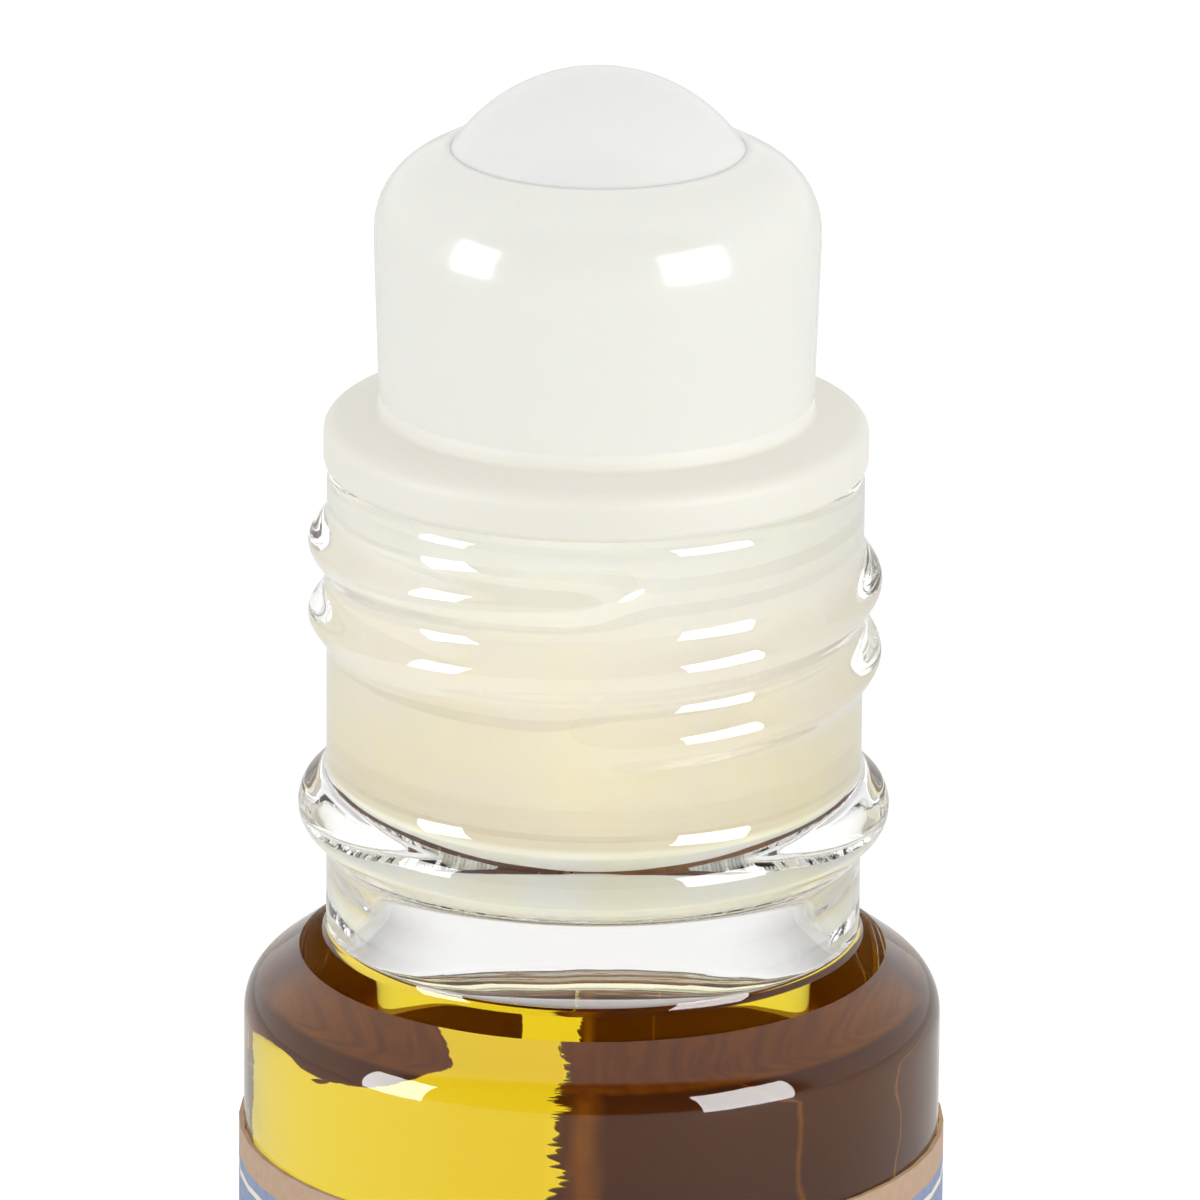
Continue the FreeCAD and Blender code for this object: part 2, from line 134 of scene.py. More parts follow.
# Cold-pressed oil: golden where light crosses it, nearly black-brown where it meets the label
def goldenOil():
    look = {"ior": 1.47, "absorbed": 260.0, "passed": (0.936, 0.857, 0.015)}
    material, tree = newMaterial("goldenOil")
    surface = addNode(tree, "ShaderNodeBsdfPrincipled", {
        "Base Color": colour("#FFFFFF"), "Roughness": 0.0, "IOR": look["ior"],
        "Transmission Weight": 1.0})
    touching = addNode(tree, "ShaderNodeBsdfTransparent")
    free = addNode(tree, "ShaderNodeAttribute", attribute_name="freeSurface")
    mixed = addNode(tree, "ShaderNodeMixShader", {
        0: free.outputs["Fac"], 1: touching.outputs[0], 2: surface.outputs[0]})
    body = addNode(tree, "ShaderNodeVolumeAbsorption", {
        "Color": (*look["passed"], 1.0), "Density": look["absorbed"]})
    addNode(tree, "ShaderNodeOutputMaterial", {
        "Surface": mixed.outputs[0], "Volume": body.outputs[0]})
    return material


# Low-density polyethylene, injection moulded: milky, light goes a little way into it
def milkyPolyethylene():
    look = {"cloudApart": 3.0, "cloudEdge": (0.42, 0.68), "clouded": 0.42, "grainApart": 0.9,
            "cupRoughness": (0.13, 0.19), "plugRoughness": 0.6, "lightTravel": 0.12,
            "cupFrom": 2.2, "flangeTo": 1.9}                # heights above the rim
    material, tree = newMaterial("milkyPolyethylene")
    place = addNode(tree, "ShaderNodeTexCoord").outputs["Object"]
    height = addNode(tree, "ShaderNodeSeparateXYZ", {0: place})
    oily = addNode(tree, "ShaderNodeMapRange", {
        "Value": height.outputs["Z"], "From Min": rim * mm, "From Max": housingLow.z})

    # Its colour at heights above the rim: the flange is duller, and the plug is warmer the deeper
    # it is in the neck, but painted paler at its end, a painted light for light that comes in from
    # below
    stops = ((-11.05, "#FFFBEE"), (-10.2, "#FFF9E4"), (-9.9, "#EAE1C6"), (0.0, "#FDF8EF"),
             (0.15, "#F0EDE3"), (1.7, "#F0EDE3"), (2.0, "#F9F5EE"))
    level = addNode(tree, "ShaderNodeMapRange", {
        "Value": height.outputs["Z"], "From Min": housingLow.z, "From Max": housingHigh.z})
    tintWithPaintedLight = addNode(tree, "ShaderNodeValToRGB", {0: level.outputs[0]})
    ramp = tintWithPaintedLight.color_ramp.elements
    for count, (rise, paint) in enumerate(stops):
        position = ((rim + rise) * mm - housingLow.z) / (housingHigh.z - housingLow.z)
        stop = ramp[count] if count < 2 else ramp.new(position)
        stop.position, stop.color = position, colour(paint)

    # Oil that has crept between the plug and the glass lies in faint clouds
    clouds = addNode(tree, "ShaderNodeTexNoise", {
        "Vector": place, "Scale": 1 / (look["cloudApart"] * mm), "Detail": 1.0})
    clouded = addNode(tree, "ShaderNodeMapRange", {
        "Value": clouds.outputs["Fac"], "From Min": look["cloudEdge"][0],
        "From Max": look["cloudEdge"][1], "To Max": look["clouded"]})
    clouded = addNode(tree, "ShaderNodeMath", {
        0: clouded.outputs[0], 1: oily.outputs[0]}, operation="MULTIPLY")
    tint = addNode(tree, "ShaderNodeMix", {
        "Factor": clouded.outputs[0], 6: tintWithPaintedLight.outputs[0], 7: colour("#F6EDB4")},
        data_type="RGBA")

    grain = addNode(tree, "ShaderNodeTexNoise", {
        "Vector": place, "Scale": 1 / (look["grainApart"] * mm), "Detail": 2.0})
    onCup = addNode(tree, "ShaderNodeMapRange", {
        "Value": grain.outputs["Fac"], "To Min": look["cupRoughness"][0],
        "To Max": look["cupRoughness"][1]})
    belowCup = addNode(tree, "ShaderNodeMapRange", {
        "Value": height.outputs["Z"], "From Min": (rim + look["cupFrom"]) * mm,
        "From Max": (rim + look["flangeTo"]) * mm})
    roughness = addNode(tree, "ShaderNodeMix", {
        "Factor": belowCup.outputs[0], 2: onCup.outputs[0], 3: look["plugRoughness"]})
    shader = addNode(tree, "ShaderNodeBsdfPrincipled", {
        "Base Color": tint.outputs[2], "Roughness": roughness.outputs[0], "IOR": 1.51,
        "Subsurface Weight": 1.0, "Subsurface Radius": (1.0, 0.9, 0.75),
        "Subsurface Scale": look["lightTravel"] * mm})
    addNode(tree, "ShaderNodeOutputMaterial", {"Surface": shader.outputs[0]})
    return material


# Polypropylene ball, moulded and tumbled: milky like its housing, a shade paler and less glossy
def tumbledPolypropylene():
    look = {"cloudApart": 2.2, "roughness": 0.2, "lightTravel": 0.12}
    material, tree = newMaterial("tumbledPolypropylene")
    place = addNode(tree, "ShaderNodeTexCoord").outputs["Object"]
    clouds = addNode(tree, "ShaderNodeTexNoise", {
        "Vector": place, "Scale": 1 / (look["cloudApart"] * mm), "Detail": 2.0})
    tint = addNode(tree, "ShaderNodeMix", {
        "Factor": clouds.outputs["Fac"], 6: colour("#FCF8F1"), 7: colour("#FDFAF4")},
        data_type="RGBA")
    shader = addNode(tree, "ShaderNodeBsdfPrincipled", {
        "Base Color": tint.outputs[2], "Roughness": look["roughness"], "IOR": 1.49,
        "Subsurface Weight": 1.0, "Subsurface Radius": (1.0, 0.9, 0.8),
        "Subsurface Scale": look["lightTravel"] * mm})
    addNode(tree, "ShaderNodeOutputMaterial", {"Surface": shader.outputs[0]})
    return material


# Where a turn round the bottle, in degrees from +X, lies on the label laid out flat, in metres
def alongLabel(turn):
    return math.radians(turn) * bodyRadius * mm


# Coated label paper, printed: matt, a blue field between kraft bands, with a bare cream panel
def printedPaper():
    look = {"band": 0.9, "line": 0.18, "panelWide": 17.0, "panelTall": 25.0, "panelRound": 2.5,
            "panelLine": 0.7, "fibre": 0.35, "fibreHeight": 0.01, "fibreStrength": 0.4,
            "mottleEdge": (0.3, 0.7), "mottle": 0.12}
    material, tree = newMaterial("printedPaper")
    place = addNode(tree, "ShaderNodeUVMap", uv_map="flatLabel").outputs["UV"]
    flat = addNode(tree, "ShaderNodeSeparateXYZ", {0: place})
    tall = labelHigh.z - labelLow.z
    fibres = addNode(tree, "ShaderNodeTexNoise", {
        "Vector": place, "Scale": 1 / (look["fibre"] * mm), "Detail": 4.0})
    fromMiddle = addNode(tree, "ShaderNodeMath", {0: flat.outputs["Y"], 1: tall / 2},
                         operation="SUBTRACT")
    fromMiddle = addNode(tree, "ShaderNodeMath", {0: fromMiddle.outputs[0]}, operation="ABSOLUTE")
    tint = colour("#7D90B6")
    for inset, paint in ((look["band"] + look["line"] * 3, "#F0E7D6"),
                         (look["band"] + look["line"] * 2, "#7D90B6"), (look["band"], "#BE9B7D")):
        inBand = addNode(tree, "ShaderNodeMath", {
            0: fromMiddle.outputs[0], 1: tall / 2 - inset * mm}, operation="GREATER_THAN")
        painted = addNode(tree, "ShaderNodeMix", {
            "Factor": inBand.outputs[0], 6: tint, 7: colour(paint)}, data_type="RGBA")
        tint = painted.outputs[2]

    # The panel is a rectangle with round corners, in front, with a line a little way inside it
    across = addNode(tree, "ShaderNodeMath", {0: flat.outputs["X"], 1: alongLabel(270)},
                     operation="SUBTRACT")
    across = addNode(tree, "ShaderNodeMath", {0: across.outputs[0]}, operation="ABSOLUTE")
    overs = []
    for reach, half in ((across, look["panelWide"] / 2), (fromMiddle, look["panelTall"] / 2)):
        over = addNode(tree, "ShaderNodeMath", {
            0: reach.outputs[0], 1: (half - look["panelRound"]) * mm}, operation="SUBTRACT")
        overs.append(addNode(tree, "ShaderNodeMath", {0: over.outputs[0], 1: 0.0},
                             operation="MAXIMUM"))
    corner = addNode(tree, "ShaderNodeCombineXYZ", {0: overs[0].outputs[0], 1: overs[1].outputs[0]})
    outside = addNode(tree, "ShaderNodeVectorMath", {0: corner.outputs[0]}, operation="LENGTH")
    for inset, paint in ((0.0, "#F0E7D6"), (look["panelLine"], "#BE9B7D"),
                         (look["panelLine"] + look["line"], "#F0E7D6")):
        within = addNode(tree, "ShaderNodeMath", {
            0: outside.outputs["Value"], 1: (look["panelRound"] - inset) * mm},
            operation="LESS_THAN")
        painted = addNode(tree, "ShaderNodeMix", {
            "Factor": within.outputs[0], 6: tint, 7: colour(paint)}, data_type="RGBA")
        tint = painted.outputs[2]

    # The paper's fibres show a little through the ink
    mottle = addNode(tree, "ShaderNodeMapRange", {
        "Value": fibres.outputs["Fac"], "From Min": look["mottleEdge"][0],
        "From Max": look["mottleEdge"][1], "To Max": look["mottle"]})
    worn = addNode(tree, "ShaderNodeMix", {
        "Factor": mottle.outputs[0], 6: tint, 7: colour("#EDE6DA")}, data_type="RGBA")
    bump = addNode(tree, "ShaderNodeBump", {
        "Height": fibres.outputs["Fac"], "Distance": look["fibreHeight"] * mm,
        "Strength": look["fibreStrength"]})
    shader = addNode(tree, "ShaderNodeBsdfPrincipled", {
        "Base Color": worn.outputs[2], "Roughness": 0.55, "IOR": 1.45,
        "Normal": bump.outputs[0]})
    addNode(tree, "ShaderNodeOutputMaterial", {"Surface": shader.outputs[0]})
    return material


# The label's glued side, which shows through the oil: painted shade, a dull purple-brown, and
# painted light, golden, lower down, beside its end and along a fine crease, where light creeps in,
# in streaks
def gluedPaperPaintedLightAndShade():
    look = {"paintedLightFrom": 47.8, "paintedLightTo": 46.9,           # heights above the floor
            "endPaintedLightReach": 0.52, "endFibre": (0.192, 0.072), "endDim": 0.25,
            "streak": 0.2, "streakSquash": 0.12, "streakEdge": (0.35, 0.6), "streakLeast": 0.7,
            "seamTurn": 439.4, "seamWidth": 0.03}           # a fine crease with painted light along it, by its turn in degrees
    material, tree = newMaterial("gluedPaperPaintedLightAndShade")
    place = addNode(tree, "ShaderNodeUVMap", uv_map="flatLabel").outputs["UV"]
    flat = addNode(tree, "ShaderNodeSeparateXYZ", {0: place})
    upright = addNode(tree, "ShaderNodeMapping", {
        "Vector": place, "Scale": (1.0, look["streakSquash"], 1.0)})
    streaks = addNode(tree, "ShaderNodeTexNoise", {
        "Vector": upright.outputs[0], "Scale": 1 / (look["streak"] * mm), "Detail": 3.0})
    low, end = labelLow.z, alongLabel(labelGap["from"] + 360)
    # Painted light: golden lower down on the glued side, and beside its cut end, dimmer at the very
    # edge
    lowPaintedLight = addNode(tree, "ShaderNodeMapRange", {
        "Value": flat.outputs["Y"], "From Min": look["paintedLightFrom"] * mm - low,
        "From Max": look["paintedLightTo"] * mm - low}, interpolation_type="SMOOTHSTEP")
    endPaintedLight = addNode(tree, "ShaderNodeMapRange", {
        "Value": flat.outputs["X"], "From Min": end - look["endPaintedLightReach"] * mm,
        "From Max": end - look["endPaintedLightReach"] / 2 * mm}, interpolation_type="SMOOTHSTEP")
    torn = addNode(tree, "ShaderNodeMapRange", {
        "Value": flat.outputs["X"], "From Min": end - look["endFibre"][0] * mm,
        "From Max": end - look["endFibre"][1] * mm, "To Min": 1.0, "To Max": look["endDim"]})
    endPaintedLight = addNode(tree, "ShaderNodeMath", {0: endPaintedLight.outputs[0], 1: torn.outputs[0]},
                     operation="MULTIPLY")
    # Painted light along the fine crease
    seam = addNode(tree, "ShaderNodeMath", {
        0: flat.outputs["X"], 1: alongLabel(look["seamTurn"])}, operation="SUBTRACT")
    seam = addNode(tree, "ShaderNodeMath", {0: seam.outputs[0]}, operation="ABSOLUTE")
    seam = addNode(tree, "ShaderNodeMapRange", {
        "Value": seam.outputs[0], "From Min": look["seamWidth"] * mm, "From Max": 0.0})
    paintedLight = addNode(tree, "ShaderNodeMath", {0: lowPaintedLight.outputs[0], 1: endPaintedLight.outputs[0]},
                     operation="MAXIMUM")
    paintedLight = addNode(tree, "ShaderNodeMath", {0: paintedLight.outputs[0], 1: seam.outputs[0]},
                     operation="MAXIMUM")
    # The painted light is broken into upright streaks
    patchy = addNode(tree, "ShaderNodeMapRange", {
        "Value": streaks.outputs["Fac"], "From Min": look["streakEdge"][0],
        "From Max": look["streakEdge"][1], "To Min": look["streakLeast"]})
    paintedLight = addNode(tree, "ShaderNodeMath", {0: paintedLight.outputs[0], 1: patchy.outputs[0]},
                     operation="MULTIPLY")
    # Painted shade and light: purple-brown #9E707A for the paper's inside in shade, golden #FFC870
    # where light creeps in
    tint = addNode(tree, "ShaderNodeMix", {
        "Factor": paintedLight.outputs[0], 6: colour("#9E707A"), 7: colour("#FFC870")},
        data_type="RGBA")
    shader = addNode(tree, "ShaderNodeBsdfPrincipled", {
        "Base Color": tint.outputs[2], "Roughness": 0.7, "IOR": 1.45})
    addNode(tree, "ShaderNodeOutputMaterial", {"Surface": shader.outputs[0]})
    return material


clearGlass = firePolishedGlass("clearGlass", 1.5)
wettedGlass = firePolishedGlass("wettedGlass", 1.02, rippled=False)     # against oil or glue
oilMaterial = goldenOil()
housingMaterial = milkyPolyethylene()
ballMaterial = tumbledPolypropylene()
labelFront = printedPaper()
labelBack = gluedPaperPaintedLightAndShade()
print("materials ready")


# Turned pieces: an outline of (radius, height, rounding, longest step to the next corner), in mm
def outlineOf(corners, arcDegrees):
    points = []
    for i, (radius, height, rounding, step) in enumerate(corners):
        here = Vector((radius, height))
        if rounding == 0:
            arc = [here]
        else:
            toLast = (Vector(corners[i - 1][:2]) - here).normalized()
            toNext = (Vector(corners[i + 1][:2]) - here).normalized()
            half = toLast.angle(toNext) / 2
            centre = here + (toLast + toNext).normalized() * rounding / math.sin(half)
            reach = rounding / math.tan(half)
            first, last = here + toLast * reach - centre, here + toNext * reach - centre
            sweep = math.atan2(first.cross(last), first.dot(last))
            count = max(2, math.ceil(abs(math.degrees(sweep)) / arcDegrees))
            arc = [centre + Matrix.Rotation(sweep * k / count, 2) @ first
                   for k in range(count + 1)]
        if points:
            gap = arc[0] - points[-1]
            pieces = max(1, math.ceil(gap.length / lastStep))
            points += [points[-1] + gap * k / pieces for k in range(1, pieces)]
        points += arc
        lastStep = step
    return [point for k, point in enumerate(points)
            if k == 0 or (point - points[k - 1]).length > sameSpot]


# Geometry Nodes: sweeps an outline round the axis, with the ridge of a thread where it has one
def turningTree():
    tree = bpy.data.node_groups.new("turnedWithThread", "GeometryNodeTree")
    tree.interface.new_socket("Outline", in_out="INPUT", socket_type="NodeSocketGeometry")
    for name, kind in (
            ("Columns", "NodeSocketInt"), ("Ridge Height", "NodeSocketFloat"),
            ("Ridge Half Width", "NodeSocketFloat"), ("Pitch", "NodeSocketFloat"),
            ("Turns", "NodeSocketFloat"), ("Start Angle", "NodeSocketFloat"),
            ("Start Level", "NodeSocketFloat"), ("Run-out Turns", "NodeSocketFloat"),
            ("Material", "NodeSocketMaterial")):
        tree.interface.new_socket(name, in_out="INPUT", socket_type=kind)
    tree.interface.new_socket("Piece", in_out="OUTPUT", socket_type="NodeSocketGeometry")
    given = addNode(tree, "NodeGroupInput").outputs

    # The grid has one column more than the piece, and its last is merged with its first
    size = addNode(tree, "GeometryNodeAttributeDomainSize", {"Geometry": given["Outline"]})
    seam = addNode(tree, "ShaderNodeMath", {0: given["Columns"], 1: 1.0}, operation="ADD")
    grid = addNode(tree, "GeometryNodeMeshGrid", {
        "Vertices X": size.outputs["Point Count"], "Vertices Y": seam.outputs[0]})
    index = addNode(tree, "GeometryNodeInputIndex")
    ratio = addNode(tree, "ShaderNodeMath", {0: index.outputs[0], 1: seam.outputs[0]},
                    operation="DIVIDE")
    row = addNode(tree, "ShaderNodeMath", {0: ratio.outputs[0]}, operation="FLOOR")
    column = addNode(tree, "ShaderNodeMath", {0: index.outputs[0], 1: seam.outputs[0]},
                     operation="MODULO")
    angle = addNode(tree, "ShaderNodeMath", {0: column.outputs[0], 1: math.tau},
                    operation="MULTIPLY")
    angle = addNode(tree, "ShaderNodeMath", {0: angle.outputs[0], 1: given["Columns"]},
                    operation="DIVIDE")
    here = addNode(tree, "GeometryNodeInputPosition")
    point = addNode(tree, "GeometryNodeSampleIndex", {
        "Geometry": given["Outline"], "Value": here.outputs[0], "Index": row.outputs[0]},
        data_type="FLOAT_VECTOR")
    carries = addNode(tree, "GeometryNodeInputNamedAttribute", {"Name": "carriesThread"},
                      data_type="FLOAT")
    threaded = addNode(tree, "GeometryNodeSampleIndex", {
        "Geometry": given["Outline"], "Value": carries.outputs[0], "Index": row.outputs[0]},
        data_type="FLOAT")
    place = addNode(tree, "ShaderNodeSeparateXYZ", {0: point.outputs[0]})

    # How many turns down the ridge this point is, going clockwise seen from above
    turned = addNode(tree, "ShaderNodeMath", {0: given["Start Angle"], 1: angle.outputs[0]},
                     operation="SUBTRACT")
    turned = addNode(tree, "ShaderNodeMath", {0: turned.outputs[0], 1: math.tau},
                     operation="DIVIDE")
    part = addNode(tree, "ShaderNodeMath", {0: turned.outputs[0]}, operation="FRACT")
    fall = addNode(tree, "ShaderNodeMath", {0: given["Start Level"], 1: place.outputs["Z"]},
                   operation="SUBTRACT")
    level = addNode(tree, "ShaderNodeMath", {0: fall.outputs[0], 1: given["Pitch"]},
                    operation="DIVIDE")
    whole = addNode(tree, "ShaderNodeMath", {0: level.outputs[0], 1: part.outputs[0]},
                    operation="SUBTRACT")
    whole = addNode(tree, "ShaderNodeMath", {0: whole.outputs[0]}, operation="ROUND")
    whole = addNode(tree, "ShaderNodeMath", {0: whole.outputs[0], 1: 0.0}, operation="MAXIMUM")
    turn = addNode(tree, "ShaderNodeMath", {0: whole.outputs[0], 1: part.outputs[0]},
                   operation="ADD")
    off = addNode(tree, "ShaderNodeMath", {0: level.outputs[0], 1: turn.outputs[0]},
                  operation="SUBTRACT")
    off = addNode(tree, "ShaderNodeMath", {0: off.outputs[0]}, operation="ABSOLUTE")
    off = addNode(tree, "ShaderNodeMath", {0: off.outputs[0], 1: given["Pitch"]},
                  operation="MULTIPLY")
    section = addNode(tree, "ShaderNodeMapRange", {
        "Value": off.outputs[0], "From Min": given["Ridge Half Width"], "From Max": 0.0},
        interpolation_type="SMOOTHSTEP")
    left = addNode(tree, "ShaderNodeMath", {0: given["Turns"], 1: turn.outputs[0]},
                   operation="SUBTRACT")
    toEnd = addNode(tree, "ShaderNodeMath", {0: turn.outputs[0], 1: left.outputs[0]},
                    operation="MINIMUM")
    fade = addNode(tree, "ShaderNodeMapRange", {
        "Value": toEnd.outputs[0], "From Min": 0.0, "From Max": given["Run-out Turns"]},
        interpolation_type="SMOOTHSTEP")
    rise = addNode(tree, "ShaderNodeMath", {0: section.outputs[0], 1: fade.outputs[0]},
                   operation="MULTIPLY")
    rise = addNode(tree, "ShaderNodeMath", {0: rise.outputs[0], 1: threaded.outputs[0]},
                   operation="MULTIPLY")
    rise = addNode(tree, "ShaderNodeMath", {0: rise.outputs[0], 1: given["Ridge Height"]},
                   operation="MULTIPLY")
    radius = addNode(tree, "ShaderNodeMath", {0: place.outputs["X"], 1: rise.outputs[0]},
                     operation="ADD")

    cosine = addNode(tree, "ShaderNodeMath", {0: angle.outputs[0]}, operation="COSINE")
    sine = addNode(tree, "ShaderNodeMath", {0: angle.outputs[0]}, operation="SINE")
    across = addNode(tree, "ShaderNodeMath", {0: radius.outputs[0], 1: cosine.outputs[0]},
                     operation="MULTIPLY")
    along = addNode(tree, "ShaderNodeMath", {0: radius.outputs[0], 1: sine.outputs[0]},
                    operation="MULTIPLY")
    swept = addNode(tree, "ShaderNodeCombineXYZ", {
        "X": across.outputs[0], "Y": along.outputs[0], "Z": place.outputs["Z"]})
    moved = addNode(tree, "GeometryNodeSetPosition", {
        "Geometry": grid.outputs["Mesh"], "Position": swept.outputs[0]})
    closed = addNode(tree, "GeometryNodeMergeByDistance", {
        "Geometry": moved.outputs[0], "Distance": sameSpot * mm})
    smooth = addNode(tree, "GeometryNodeSetShadeSmooth", {"Geometry": closed.outputs[0]})
    real = addNode(tree, "GeometryNodeRealizeInstances", {"Geometry": smooth.outputs[0]})
    painted = addNode(tree, "GeometryNodeSetMaterial", {
        "Geometry": real.outputs[0], "Material": given["Material"]})
    addNode(tree, "NodeGroupOutput", {"Piece": painted.outputs[0]})
    return tree


turnedWithThread = turningTree()


# Runs the tree on an outline and keeps the result as a plain mesh with its faces outwards
def turnedPiece(name, outline, material, columns, ridge=None):
    line = bpy.data.meshes.new(name + "Outline")
    line.from_pydata([(r * mm, 0, z * mm) for r, z in outline],
                     [(k, k + 1) for k in range(len(outline) - 1)], [])
    carries = line.attributes.new("carriesThread", "FLOAT", "POINT")
    if ridge:
        foot, top = rim - ridge["zoneFoot"], rim - ridge["zoneTop"]
        for k, (r, z) in enumerate(outline):
            carries.data[k].value = float(foot <= z <= top and r > ridge["wall"] - hair)
    source = addObject(name + "Source", line)
    modifier = source.modifiers.new("turned", "NODES")
    modifier.node_group = turnedWithThread
    given = {"Columns": columns, "Material": material,
             "Pitch": 1.0, "Turns": 1.0}        # of no effect where a piece has no thread
    if ridge:
        given.update({
            "Ridge Height": ridge["height"] * mm, "Ridge Half Width": ridge["halfWidth"] * mm,
            "Pitch": ridge["pitch"] * mm, "Turns": ridge["turns"],
            "Start Angle": math.radians(ridge["startDegrees"]),
            "Start Level": (rim - ridge["drop"]) * mm,
            "Run-out Turns": ridge["runOutDegrees"] / 360})
    for socket in turnedWithThread.interface.items_tree:
        if socket.in_out == "INPUT" and socket.name in given:
            modifier[socket.identifier] = given[socket.name]
    graph = bpy.context.evaluated_depsgraph_get()
    mesh = bpy.data.meshes.new_from_object(
        source.evaluated_get(graph), preserve_all_data_layers=True, depsgraph=graph)
    bpy.data.objects.remove(source)
    mesh.name = name
    mesh.materials.pop(index=0)             # the empty slot that the grid brought
    faceOutwards(mesh)
    return addObject(name, mesh)


# Glass bottle
bottle = {
    "bearingWidth": 1.3, "bearingRound": 0.3, "pushUpSlope": 1.6, "pushUpDepth": 0.8,
    "pushUpRound": 0.9, "heel": 1.6,
    "neckRadius": 7.65, "neckHeight": 13.9, "shoulderFall": 1.75, "shoulderRound": 1.4,
    "beadRadius": 8.45, "beadDrop": 10.1, "beadHeight": 2.3, "beadCrest": 0.75,
    "beadRound": 0.8, "beadRoot": 0.8, "neckFootRound": 0.5, "rimRound": 0.5,
    "bore": 5.75, "boreRimRound": 0.35, "boreLength": 11.6, "boreEndRound": 3.0, "wall": 1.6,
    "innerFall": 5.0, "innerRound": 2.0, "floor": 2.6, "floorRound": 2.2, "columns": 288,
    "arcDegrees": 7.0, "threadStep": 0.11, "plainStep": 2.5}
thread = {
    "wall": bottle["neckRadius"], "height": 0.53, "halfWidth": 1.1, "pitch": 2.117,
    "turns": 2.079, "startDegrees": 286.0, "drop": 1.67, "runOutDegrees": 22.0,
    "zoneTop": 0.5, "zoneFoot": 8.4}
plugEnd = housingLow.z / mm
oilEdge = oilHigh.z / mm
labelTop, labelFoot = labelHigh.z / mm, labelLow.z / mm


def glassOutline():
    b = bottle
    bearing = bodyRadius - b["heel"] - b["bearingWidth"]
    bead = rim - b["beadDrop"]
    innerWall = bodyRadius - b["wall"]
    innerTop = rim - b["boreLength"] - b["innerFall"]
    slope = (innerWall - b["bore"]) / b["innerFall"]
    edgeRadius = b["bore"] + (rim - b["boreLength"] - oilEdge) * slope
    plain = b["plainStep"]
    return outlineOf([
        (0, b["pushUpDepth"], 0, 1.0),
        (bearing - b["pushUpSlope"], b["pushUpDepth"], b["pushUpRound"], 0.4),
        (bearing, 0, b["bearingRound"], 0.4),
        (bodyRadius, 0, b["heel"], plain),
        (bodyRadius, labelFoot, 0, plain),
        (bodyRadius, labelTop, 0, 0.6),
        (bodyRadius, rim - b["neckHeight"] - b["shoulderFall"], b["shoulderRound"], 0.15),
        (b["neckRadius"], rim - b["neckHeight"], b["neckFootRound"], 0.2),
        (b["neckRadius"], bead - b["beadHeight"] / 2, b["beadRoot"], 0.1),
        (b["beadRadius"], bead - b["beadCrest"] / 2, b["beadRound"], 0.1),
        (b["beadRadius"], bead + b["beadCrest"] / 2, b["beadRound"], 0.1),
        (b["neckRadius"], bead + b["beadHeight"] / 2, b["beadRoot"], b["threadStep"]),
        (b["neckRadius"], rim, b["rimRound"], 0.4),
        (b["bore"], rim, b["boreRimRound"], 0.4),
        (b["bore"], plugEnd, 0, 0.4),
        (b["bore"], rim - b["boreLength"], b["boreEndRound"], 0.3),
        (edgeRadius, oilEdge, 0, 0.3),
        (innerWall, innerTop, b["innerRound"], plain),
        (innerWall, b["floor"], b["floorRound"], 1.0),
        (0, b["floor"], 0, 1.0)], b["arcDegrees"])


# Faces that touch oil or the label's glue let light pass without an air gap between
def wetFaces(piece):
    piece.data.materials.append(wettedGlass)
    b = bottle
    for face in piece.data.polygons:
        x, y, z = (c / mm for c in face.center)
        radius, turn = math.hypot(x, y), math.degrees(math.atan2(y, x)) % 360
        inside = radius < bodyRadius - b["wall"] + 2 * hair and z > b["floor"] - hair
        underPlug = (inside and radius < b["bore"] + hair
                     and plugEnd < z < rim - b["boreRimRound"])
        underOil = inside and z < oilEdge
        bare = labelGap["from"] < turn < labelGap["to"]
        underLabel = radius > bodyRadius - 2 * hair and labelFoot < z < labelTop and not bare
        face.material_index = int(underPlug or underOil or underLabel)


glass = turnedPiece("bottleGlass", glassOutline(), clearGlass, bottle["columns"], thread)
wetFaces(glass)
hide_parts("glass_bottle")
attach(glass, "bottle")
print("bottle glass:", len(glass.data.polygons), "faces")

# Oil, with its edge drawn up the glass
oil = {"film": 0.03, "meniscusRise": 0.45, "meniscusWidth": 0.72, "meniscusRound": 0.8,
       "freeBelow": 0.05, "columns": 144}


def oilOutline():
    b, o = bottle, oil
    wall = bodyRadius - b["wall"] - o["film"]
    slope = (bodyRadius - b["wall"] - b["bore"]) / b["innerFall"]
    edgeRadius = b["bore"] - o["film"] + (rim - b["boreLength"] - oilEdge) * slope
    level = oilEdge - o["meniscusRise"]
    return outlineOf([
        (0, b["floor"] + o["film"], 0, 1.0),
        (wall, b["floor"] + o["film"], b["floorRound"], 2.5),
        (wall, rim - b["boreLength"] - b["innerFall"], b["innerRound"], 0.4),
        (edgeRadius, oilEdge, 0, 0.1),
        (edgeRadius - o["meniscusWidth"], level, o["meniscusRound"], 0.5),
        (0, level, 0, 0.5)], b["arcDegrees"])


# Marks the faces that meet air, which bend light, apart from those that lie along the glass
def markFreeSurface(piece):
    b, o = bottle, oil
    free = piece.data.attributes.new("freeSurface", "FLOAT", "FACE")
    low = oilEdge - o["meniscusRise"] - o["freeBelow"]
    slope = (bodyRadius - b["wall"] - b["bore"]) / b["innerFall"]
    for face in piece.data.polygons:
        x, y, z = (c / mm for c in face.center)
        wallHere = b["bore"] + (rim - b["boreLength"] - z) * slope
        away = wallHere - math.hypot(x, y)
        free.data[face.index].value = float(z > low and away > 2 * o["film"])


fluid = turnedPiece("oilFill", oilOutline(), oilMaterial, oil["columns"])
markFreeSurface(fluid)
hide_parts("oil_fill")
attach(fluid, "bottle")
print("oil:", len(fluid.data.polygons), "faces")

